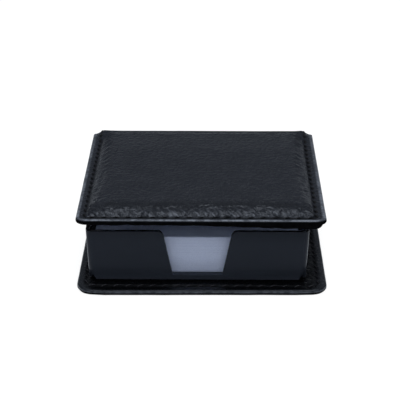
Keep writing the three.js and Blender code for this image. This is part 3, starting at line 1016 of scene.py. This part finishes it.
dress(moulded_tray, plastic_material())
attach(moulded_tray, "base")
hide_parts("tray")


# Tapes
# Two strips of double-sided tape between the base flap and the tray's foot.

white_tape = two_tone(
    "white_tape", (500, 4), (0.70, 0.66, 0.55, 1), (0.82, 0.78, 0.68, 1), roughness=0.7
)
for tape_name in ("tray_tape_front", "tray_tape_back"):
    paint_node(tape_name, white_tape)


# Memo sheets
# A block of loose writing paper, cut square. The leaves lie a little out of line with each other.

stack_low, stack_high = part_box("memo_sheets")
leaf_count = 83
leaf_shift = 0.12 * mm
leaf_thickness = 0.1 * mm
leaf_curl = 0.5 * mm
leaf_fullness = 0.93
leaf_turn = 0.0008
random.seed(7)


def made_leaves():
    size = stack_high - stack_low
    pitch = size.z / leaf_count
    leaf_top = Vector((stack_high.x, stack_high.y, stack_low.z + leaf_fullness * pitch))
    leaf = box("memo_leaf", stack_low, leaf_top)
    copies = []
    for number in range(leaf_count):
        copy = copy_of(leaf)
        turn = Matrix.Rotation(random.uniform(-leaf_turn, leaf_turn), 4, "Z")
        shift = Vector((random.uniform(-1, 0.4), random.uniform(0, 1), 0)) * leaf_shift
        shift.z = number * pitch
        copy.data.transform(Matrix.Translation(shift) @ turn)
        copies.append(copy)
    bpy.data.objects.remove(leaf)
    return joined(copies, "memo_leaves")


def flat_grid(name, low, high, z, cells):
    """A level mesh of this many cells a side, from low to high at this height."""
    deselected()
    middle = (low + high) / 2
    bpy.ops.mesh.primitive_grid_add(
        x_subdivisions=cells, y_subdivisions=cells, size=1, location=(middle.x, middle.y, z)
    )
    grid = named(bpy.context.object, name)
    bpy.ops.transform.resize(value=(high.x - low.x, high.y - low.y, 1))
    bpy.ops.object.transform_apply(location=True, rotation=True, scale=True)
    return grid


def top_leaf():
    """The uppermost leaf, which has curled up a little at its front corners."""
    size = stack_high - stack_low
    leaf = flat_grid("top_leaf", stack_low, stack_high, stack_high.z, 24)

    def curled(co):
        side = abs(co.x - (stack_low.x + stack_high.x) / 2) / (size.x / 2)
        ahead = 1 - (co.y - stack_low.y) / size.y
        rise = 0.35 * ahead ** 8 + 0.65 * side ** 6 * ahead ** 4
        return Vector((co.x, co.y, stack_high.z + leaf_curl * rise))

    move_points(leaf, curled)
    apply_modifier(leaf, "SOLIDIFY", thickness=leaf_thickness, offset=1)
    return leaf


def paper_material(name, light, shade):
    return two_tone(
        name, (1500, 5, 0.6), shade, light, roughness=0.9, relief=(0.02 * mm, 0.3), specular=0.05
    )


memo_leaves = joined([made_leaves(), top_leaf()], "memo_leaves")
smooth(memo_leaves, 30)
dress(memo_leaves, paper_material("memo_paper", (0.71, 0.78, 0.98, 1), (0.66, 0.73, 0.94, 1)))
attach(memo_leaves, "base")
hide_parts("memo_sheets")


# Upper leather
# The upper half of the wrap: from the middle of the spine over the upper fold, then over the padded lid
# and round its board. It is sewn through on three sides, and the padding swells it inside the row.

lid_corner_radius = 4 * mm
lid_row_inset = 3.3 * mm
pad_gap = 1 * mm
pad_slope = 12 * mm
pad_rise = 2.75 * mm
pad_rise_at_fold = 2.1 * mm
pad_slope_at_fold = 5 * mm
pad_taper = 34 * mm
pad_steepness = 3
pad_roundness = 1.6
pull_slant = 0.9
slant_start = -5 * mm
slant_run = 15 * mm
gather_reach = 1.7 * mm
gather_height = 0.6 * mm
bunch_length = 11 * mm
bunch_width = 30 * mm
side_gathers = 0.25
crease_reach = 3.5 * mm
crease_height = 0.4 * mm
crease_width = 2.1 * mm
crease_length = 6 * mm
side_creases = 0.4
bead_start = -15 * mm
bead_run = 65 * mm
bead_drop = 1.5 * mm
bead_lumps = 0.25 * mm
level_reach = 15 * mm
level_start = 0.6 * mm
level_slope = 3.4 * mm
right_draw = 1.2 * mm
left_draw = 1.1 * mm
draw_reach = 13 * mm
# Strength, place and width of the painted shade on the padding's front slope.
pad_shade_amount = 0.45
pad_shade_place = 7 * mm
pad_shade_width = 4 * mm
swell_scale = 10
swell_steps = 20
held_border = 1.2 * mm
least_swell = 0.12 * mm
most_swell = 0.45 * mm
lid_low, lid_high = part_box("lid_cover")
lid_top = lid_low.z + panel
upper_radius = lid_top - upper_fold_low.z
upper_arc = upper_radius * math.pi / 2
lid_front = lid_low.y
lid_back = lid_high.y
upper_end = lid_back + upper_arc + upper_fold_low.z - middle_of_spine
pad_foot = lid_row_inset + pad_gap


def climb(distance, slope):
    share = limited(distance / slope)
    return (1 - (1 - share) ** pad_steepness) ** (1 / pad_roundness)


def crown(x, y):
    """The padding's rise over the lid's flat border."""
    share = eased(limited((lid_back - y) / pad_taper))
    rise = pad_rise_at_fold + (pad_rise - pad_rise_at_fold) * share
    side_slope = pad_slope_at_fold + (pad_slope - pad_slope_at_fold) * share
    at_side = climb(wrap_half_width - abs(x) - pad_foot, side_slope)
    return rise * at_side * climb(y - lid_front - pad_foot, pad_slope)


def puckered(x, y):
    """The leather's gathers along the seam: one between every two stitches, and on the right half drawn
    aslant, where the sheet was pulled as it was sewn."""
    side = wrap_half_width - lid_row_inset - abs(x)
    ahead = y - lid_front - lid_row_inset
    reach = min(side, ahead)
    if reach <= 0:
        return 0
    at_front = ahead < side
    along = x if at_front else y
    pulled = limited((x - slant_start) / slant_run) if at_front else 0
    slanted = along + pull_slant * pulled * reach
    phase = slanted / stitch_pitch
    gather = 0.5 - 0.5 * math.cos(2 * math.pi * phase)
    bunched = noise.noise(Vector((along / bunch_length, side / bunch_width, 4.2)))
    strength = 0.35 + 1.1 * max(0, bunched + 0.25)
    if not at_front:
        strength *= side_gathers
    near = reach / gather_reach
    folds = gather * strength * near * math.exp(1 - near)
    crease = 1 - abs(2 * noise.noise(Vector((slanted / crease_width, reach / crease_length, 9.1))))
    creases = max(0, crease) ** 2 * math.exp(-reach / crease_reach) * (1 if at_front else side_creases)
    return gather_height * folds + crease_height * creases * min(reach / mm, 1)


def raised(co):
    """Lifts the outer face over the padding. The rise dies away round the fold."""
    if co.z < lid_top - 0.3 * mm:
        return co
    fade = max(0, 1 - max(co.y - lid_back, 0) / upper_arc)
    y = min(co.y, lid_back)
    rise = max(crown(co.x, y), level_swell(co.x, y)) + puckered(co.x, co.y)
    return Vector((co.x, co.y, co.z + rise * fade))


def hanging(co):
    """Lets the bead of the front edge hang lower towards the right, where more leather was turned in."""
    inside = co.y - lid_front
    below = lid_low.z + panel / 2 - co.z
    if inside > roll_radius or below <= 0:
        return co
    turned = math.acos(min(max(1 - inside / roll_radius, -1), 1))
    share = limited((co.x - bead_start) / bead_run)
    lumps = 0.5 + noise.noise(Vector((co.x / (5 * mm), 3.3, 8.1)))
    drop = bead_drop * eased(share) + bead_lumps * lumps
    return Vector((co.x, co.y, co.z - drop * math.sin(2 * turned)))


def pad_painted_shade(co):
    """Painted shade: the padding's front slope is painted a little darker above its foot."""
    inside = upper_row.inside(co.x, co.y)
    return pad_shade_amount * bell(inside - pad_shade_place, pad_shade_width) * frontness(co, upper_row)


def level_swell(x, y):
    """Beside the fold the leather is stretched level, over the padding and the border alike."""
    share = limited((y - lid_back + level_reach) / level_reach)
    across = limited((wrap_half_width - abs(x) - level_start) / level_slope)
    return pad_rise_at_fold * eased(share) * eased(across)


def drawn_in(co):
    """The side rows were sewn further in than the front one: most on the right and towards the fold."""
    before_end = 1 - limited((co.y - lid_back) / (upper_end - lid_back))
    backwards = limited((co.y - lid_front) / (lid_back - lid_front))
    side = wrap_half_width - abs(co.x)
    amount = right_draw if co.x > 0 else left_draw * (0.4 + 0.6 * backwards)
    near_row = min(side / lid_row_inset, max(1 - (side - lid_row_inset) / draw_reach, 0))
    return Vector((co.x - math.copysign(amount * near_row * before_end, co.x), co.y, co.z))


def padded_by_simulation(slab):
    """Blows the leather up over its padding, on a copy ten times as large: the sewn border is pinned, and
    the sheet is cut a little larger than the space it fills. Each point keeps only its outward swell."""
    blown = copy_of(slab)
    blown.data.transform(Matrix.Scale(swell_scale, 4))
    kept = []
    free = []
    for point in slab.data.vertices:
        co = point.co
        inside = min(wrap_half_width - abs(co.x), co.y - lid_front, lid_back - co.y) - pad_foot
        if co.z > lid_top - 0.2 * mm and inside > -held_border:
            kept.append(point.index)
            free.append(inside > 0)
    wanted = set(kept)
    pick(blown, "VERT", lambda vert: vert.index not in wanted)
    bpy.ops.mesh.delete(type="VERT")
    finish_edit()
    start = [point.co.copy() for point in blown.data.vertices]
    held = blown.vertex_groups.new(name="held")
    for point, is_free in zip(blown.data.vertices, free):
        held.add([point.index], 0.0 if is_free else 1.0, "REPLACE")
    cloth = blown.modifiers.new("Cloth", "CLOTH")
    settings = cloth.settings
    settings.vertex_group_mass = "held"
    settings.quality = 5
    settings.mass = 0.02
    settings.tension_stiffness = 8
    settings.compression_stiffness = 8
    settings.shear_stiffness = 3
    settings.bending_stiffness = 0.3
    settings.shrink_min = -0.012
    settings.use_pressure = True
    settings.uniform_pressure_force = 4
    settings.effector_weights.gravity = 0
    cloth.collision_settings.use_collision = False
    cloth.point_cache.frame_start = 1
    cloth.point_cache.frame_end = swell_steps
    for step in range(1, swell_steps + 1):
        bpy.context.scene.frame_set(step)
    take(blown)
    bpy.ops.object.modifier_apply(modifier=cloth.name)
    bpy.context.scene.frame_set(1)
    normals = [slab.data.vertices[index].normal.copy() for index in kept]
    swells = []
    for point, before, normal in zip(blown.data.vertices, start, normals):
        swells.append((point.co - before).dot(normal) / swell_scale)
    for index, swell, normal in zip(kept, swells, normals):
        slab.data.vertices[index].co += normal * min(max(swell, -least_swell), most_swell)
    slab.data.update()
    bpy.data.objects.remove(blown)


upper_leather = flat_slab(
    "upper_leather", lid_front, upper_end, lid_top, lid_low.z, lid_corner_radius, (100, 110)
)
upper_row = SewnRow(lid_front, lid_back, upper_end, lid_row_inset, lid_corner_radius)
measured(upper_leather, upper_row, lid_low.z + panel / 2, 14 * mm, 0.65)
# Strength of the painted edge highlight and wear on the lid, weaker towards the back.
note(upper_leather, "wear_and_highlight", lambda co: 0.66 - 0.24 * co.y / lid_back)
note(upper_leather, "painted_shade", pad_painted_shade)
sewn_channel(upper_leather, upper_row, lid_top, lid_low.z)
move_points(upper_leather, raised)
move_points(upper_leather, hanging)
padded_by_simulation(upper_leather)
upper_lining = cut_window(upper_leather, lid_front, lid_low.z, "upper_lining")
for sheet_piece in (upper_leather, upper_lining):
    move_points(sheet_piece, drawn_in)
    folded(sheet_piece, lid_back, upper_radius, lid_top, -1)
uneven(upper_leather, wave_size, 0.05 * mm, 11)
apply_modifier(upper_leather, "SOLIDIFY", thickness=leather_thickness, offset=-1)
smooth(upper_leather, 50)
# The lid's tones are lighter than the base's, the same leather; the base's darker copy is painted shade.
pad_black = (0.0076, 0.0086, 0.0118, 1)
pad_worn = (0.0090, 0.0102, 0.0140, 1)
# Painted highlight: a pale crest line along the top of the lid's rolled edge.
lid_rim_highlight = [(0.75, 0), (1.1, 1), (1.7, 1), (2.2, 0)]
pad_leather = leather_material(
    "pad_leather", (pad_black, pad_worn), (0.30 * mm, 0.034 * mm), 0.25, lid_rim_highlight
)
dress(upper_leather, pad_leather)
paint_edge(upper_leather, lambda place: paint_line)
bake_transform(upper_leather)
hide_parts("lid_cover", "upper_fold")


# Upper stitches
# The same thread round the lid's three free edges and along the spine's upper half.

def on_swell(co):
    """Lifts the outer stitches on the leather that swells beside the fold."""
    if co.z < lid_low.z + panel / 2:
        return co
    fade = max(0, 1 - max(co.y - lid_back, 0) / upper_arc)
    return Vector((co.x, co.y, co.z + level_swell(co.x, min(co.y, lid_back)) * fade))


inner_lift = -0.3 * mm
upper_stitches = sewn("upper_stitches", upper_row, lid_top, lid_low.z, inner_lift)
move_points(upper_stitches, on_swell)
move_points(upper_stitches, drawn_in)
folded(upper_stitches, lid_back, upper_radius, lid_top, -1)
smooth(upper_stitches, 60)
# The lid's darker copy of the thread; the base's lighter copy is painted highlight.
dress(upper_stitches, thread_material("black_thread", 0.002, 0.005))
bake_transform(upper_stitches)
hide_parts("lid_thread", "spine_thread_left", "spine_thread_right")


# Padding
# Soft open-cell foam, glued on the lid's board. Its edges are pressed down by the sewn leather.

foam_low, foam_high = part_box("lid_foam")
foam_clearance = 0.1 * mm


def made_foam():
    size = foam_high - foam_low
    foam = flat_grid("foam_padding", foam_low, foam_high, foam_low.z, 56)

    def swollen(co):
        top = lid_top - leather_thickness - foam_clearance + crown(co.x, co.y)
        return Vector((co.x, co.y, max(top, foam_low.z + 0.2 * mm)))

    move_points(foam, swollen)
    bpy.ops.object.mode_set(mode="EDIT")
    bpy.ops.mesh.select_all(action="SELECT")
    pull_up(-size.z)
    bpy.ops.transform.resize(value=(1, 1, 0), center_override=(0, 0, foam_low.z))
    bpy.ops.mesh.select_all(action="SELECT")
    bpy.ops.mesh.normals_make_consistent(inside=False)
    finish_edit()
    return foam


def foam_material():
    look = Look("cream_foam")
    pores = look.cells(look.place(), 1400)
    return look.made({
        "Base Color": look.ramp(pores, (0.1, (0.48, 0.43, 0.31, 1)), (0.6, (0.74, 0.70, 0.58, 1))),
        "Roughness": 0.95,
        "Normal": look.bump(pores, 0.2 * mm, 0.8),
    })


foam_padding = made_foam()
move_points(foam_padding, drawn_in)
smooth(foam_padding, 50)
dress(foam_padding, foam_material())
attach(foam_padding, "lid")
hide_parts("lid_foam")


# Upper lining
# The same sheet as below, over the spine's upper half, the fold and the lid's underside.

apply_modifier(upper_lining, "SOLIDIFY", thickness=leather_thickness - lining_gap, offset=-1)
smooth(upper_lining, 50)
dress(upper_lining, wrap_lining)
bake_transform(upper_lining)
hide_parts("lid_lining")


# Calendar pocket
# A sheet of clear soft PVC under the lid, welded to the lining round three sides. Its right edge is open,
# with a half-round thumb cut, so that the card can be drawn out.

pocket_low, pocket_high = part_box("calendar_pocket")
pocket_sheet = 0.25 * mm
pocket_corner = 2.5 * mm
weld_width = 2.5 * mm
weld_rise = pocket_high.z - pocket_low.z - pocket_sheet
weld_groove = 0.12 * mm
wave_length = 22 * mm
wave_height = 0.05 * mm
thumb_radius = 9 * mm


def made_pocket():
    sheet = flat_grid("clear_pocket", pocket_low, pocket_high, pocket_low.z, 140)
    middle_y = (pocket_low.y + pocket_high.y) / 2

    def welded(co):
        from_left = co.x - pocket_low.x
        from_front = co.y - pocket_low.y
        from_back = pocket_high.y - co.y
        x, y = co.x, co.y
        ends = min(from_front, from_back)
        if from_left < pocket_corner and ends < pocket_corner:
            side = pocket_corner - from_left
            ahead = pocket_corner - ends
            drawn = max(side, ahead) / max(math.hypot(side, ahead), 1e-9)
            x += side * (1 - drawn)
            y += ahead * (1 - drawn) * (1 if from_front < from_back else -1)
        inside = min(from_left, ends)
        share = limited((weld_width + 0.8 * mm - inside) / (1.1 * mm))
        rise = weld_rise * eased(share)
        groove = weld_groove * bell(inside - weld_width / 2, 0.35 * mm)
        waves = noise.noise(Vector((co.x / wave_length, co.y / wave_length, 1.7)))
        slack = wave_height * waves * (1 - share)
        return Vector((x, y, pocket_low.z + rise + min(groove, 0.1 * mm) * 0.5 + slack))

    move_points(sheet, welded)
    apply_modifier(sheet, "SOLIDIFY", thickness=pocket_sheet, offset=1)
    deselected()
    bpy.ops.mesh.primitive_cylinder_add(
        vertices=64, radius=thumb_radius, depth=4 * mm, location=(pocket_high.x, middle_y, pocket_low.z)
    )
    cut_with(sheet, bpy.context.object)
    return sheet


def clear_material():
    """Clear PVC with a faint haze, which is stronger in the weld line."""
    look = Look("clear_pvc")
    haze = look.node("MapRange", {
        "Value": look.height(),
        "From Min": pocket_low.z + pocket_sheet + 0.05 * mm,
        "From Max": pocket_high.z,
        "To Min": 0.12,
        "To Max": 0.55,
    })
    return look.made({
        "Alpha": haze.outputs["Result"],
        "Base Color": (0.85, 0.88, 0.92, 1),
        "Roughness": 0.12,
        "IOR": 1.53,
        "Normal": look.bump(look.noise(look.place(), 60, 2), 0.3 * mm, 0.25),
    })


clear_pocket = made_pocket()
smooth(clear_pocket, 40)
dress(clear_pocket, clear_material())
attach(clear_pocket, "lid")
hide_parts("calendar_pocket")


# Calendar card
# Coated card with a printed grey ground. A month's plain day numbers stand in a grid on the face that
# looks down, the right way up for a reader in front of the opened lid.

card_low, card_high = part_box("calendar_card")
card_corner = 2 * mm
card_margin = 7 * mm
ink_depth = 0.02 * mm
week_days = 7
week_rows = 5
month_days = 31
number_size = 5.2 * mm
rule_width = 0.25 * mm


def printed_marks():
    """Day numbers and the rules between the rows, as a thin layer of ink under the card."""
    width = card_high.x - card_low.x - 2 * card_margin
    depth = card_high.y - card_low.y - 2 * card_margin
    cell = Vector((width / week_days, depth / week_rows))
    ink_z = card_low.z - ink_depth / 2
    marks = []
    for day in range(month_days):
        column, row = day % week_days, day // week_days
        x = card_low.x + card_margin + (column + 0.5) * cell.x
        y = card_low.y + card_margin + (row + 0.5) * cell.y
        deselected()
        bpy.ops.object.text_add(location=(x, y, ink_z), rotation=(math.pi, 0, 0))
        number = bpy.context.object
        number.data.body = str(day + 1)
        number.data.size = number_size
        number.data.align_x = "CENTER"
        number.data.align_y = "CENTER"
        number.data.resolution_u = 3
        number.data.extrude = ink_depth / 2
        bpy.ops.object.convert(target="MESH")
        bpy.ops.object.transform_apply(location=True, rotation=True, scale=True)
        marks.append(bpy.context.object)
    for row in range(week_rows + 1):
        y = card_low.y + card_margin + row * cell.y
        low = Vector((card_low.x + card_margin, y - rule_width / 2, card_low.z - ink_depth))
        high = Vector((card_high.x - card_margin, y + rule_width / 2, card_low.z))
        marks.append(box("rule", low, high))
    return joined(marks, "card_print")


printed_card = box("printed_card", card_low, card_high)
round_edges(printed_card, lambda near, far: abs(near.z - far.z) > 0.1 * mm, card_corner, 6)
dress(
    printed_card, paper_material("calendar_paper", (0.26, 0.28, 0.32, 1), (0.22, 0.24, 0.28, 1)),
)
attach(printed_card, "calendar")
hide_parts("calendar_card")
card_print = printed_marks()
grey_ink = two_tone(
    "grey_ink", (2500, 2), (0.020, 0.022, 0.026, 1), (0.035, 0.038, 0.044, 1), roughness=0.6
)
dress(card_print, grey_ink)
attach(card_print, "calendar")


# Studio
# A white sweep, two soft lamps overhead, one in front and a pale panel behind. The camera's place and lens
# are fitted to the photograph.

focal_length = 131.7
camera_place = Vector((5.22, -628.875, 287.16)) * mm
camera_pitch = 22.92
camera_yaw = -0.56
sweep_radius = 8
sweep_rim = ((0.05, 1.03), (0.15, 1.05), (0.2, 1.03), (0.2, 1.0))


def made_floor():
    """The sweep glows white to the camera and a little cooler in reflections, and still takes the box's
    soft shadow."""
    look = Look("white_sweep")
    rays = look.node("LightPath").outputs
    seen = rays["Is Camera Ray"]
    glow_tint = look.ramp(seen, (0, (0.84, 0.91, 1, 1)), (1, (1, 1, 1, 1)))
    for name in ("Is Glossy Ray", "Is Transmission Ray"):
        seen = look.calculated("MAXIMUM", seen, rays[name])
    paint = look.made({
        "Base Color": look.ramp(seen, (0, 0.66), (1, 0.18)),
        "Roughness": 0.9,
        "Specular IOR Level": 0,
        "Emission Color": glow_tint,
        "Emission Strength": look.calculated("MULTIPLY", seen, 0.88),
    })
    deselected()
    bpy.ops.mesh.primitive_circle_add(
        vertices=96, radius=sweep_radius, fill_type="NGON", location=(0, 0, -0.05 * mm)
    )
    floor = named(bpy.context.object, "sweep")
    pick_edges(floor, lambda near, far: True)
    for rise, reach in sweep_rim:
        pull_up(rise)
        scale_picked(reach, reach, (0, 0, 0))
    finish_edit()
    floor.data.materials.append(paint)
    smooth(floor, 60)


def add_lamp(name, place, width, depth, strength, tint):
    """A soft lamp that points at the box's foot."""
    lamp = bpy.data.lights.new(name, "AREA")
    lamp.shape = "RECTANGLE"
    lamp.size = width
    lamp.size_y = depth
    lamp.energy = strength
    lamp.color = tint
    stand = bpy.data.objects.new(name, lamp)
    stand.location = place
    stand.rotation_euler = (Vector((0, 0, 0)) - Vector(place)).to_track_quat("-Z", "Y").to_euler()
    bpy.context.collection.objects.link(stand)


made_floor()
add_lamp("overhead", (0, -0.1, 1.1), 1.2, 0.8, 6.5, (0.94, 0.97, 1))
add_lamp("overhead_core", (0, -0.1, 1.09), 0.3, 0.8, 6, (0.94, 0.97, 1))
add_lamp("front_soft", (0, -1.0, 1.15), 1.6, 0.5, 6, (0.90, 0.95, 1))
add_lamp("back_panel", (0, 1.0, 1.0), 2.2, 1.3, 2.6, (0.76, 0.85, 1))

world = bpy.data.worlds.new("studio_air")
world.use_nodes = True
air = world.node_tree.nodes["Background"]
air.inputs["Color"].default_value = (0.92, 0.96, 1, 1)
air.inputs["Strength"].default_value = 0.03
bpy.context.scene.world = world

camera_data = bpy.data.cameras.new("camera")
camera_data.lens = focal_length
camera_data.sensor_width = 36
camera_data.clip_start = 0.01
camera = bpy.data.objects.new("camera", camera_data)
camera.location = camera_place
camera.rotation_euler = (math.radians(90 - camera_pitch), 0, math.radians(-camera_yaw))
bpy.context.collection.objects.link(camera)
bpy.context.scene.camera = camera
bpy.context.scene.view_settings.view_transform = "Standard"
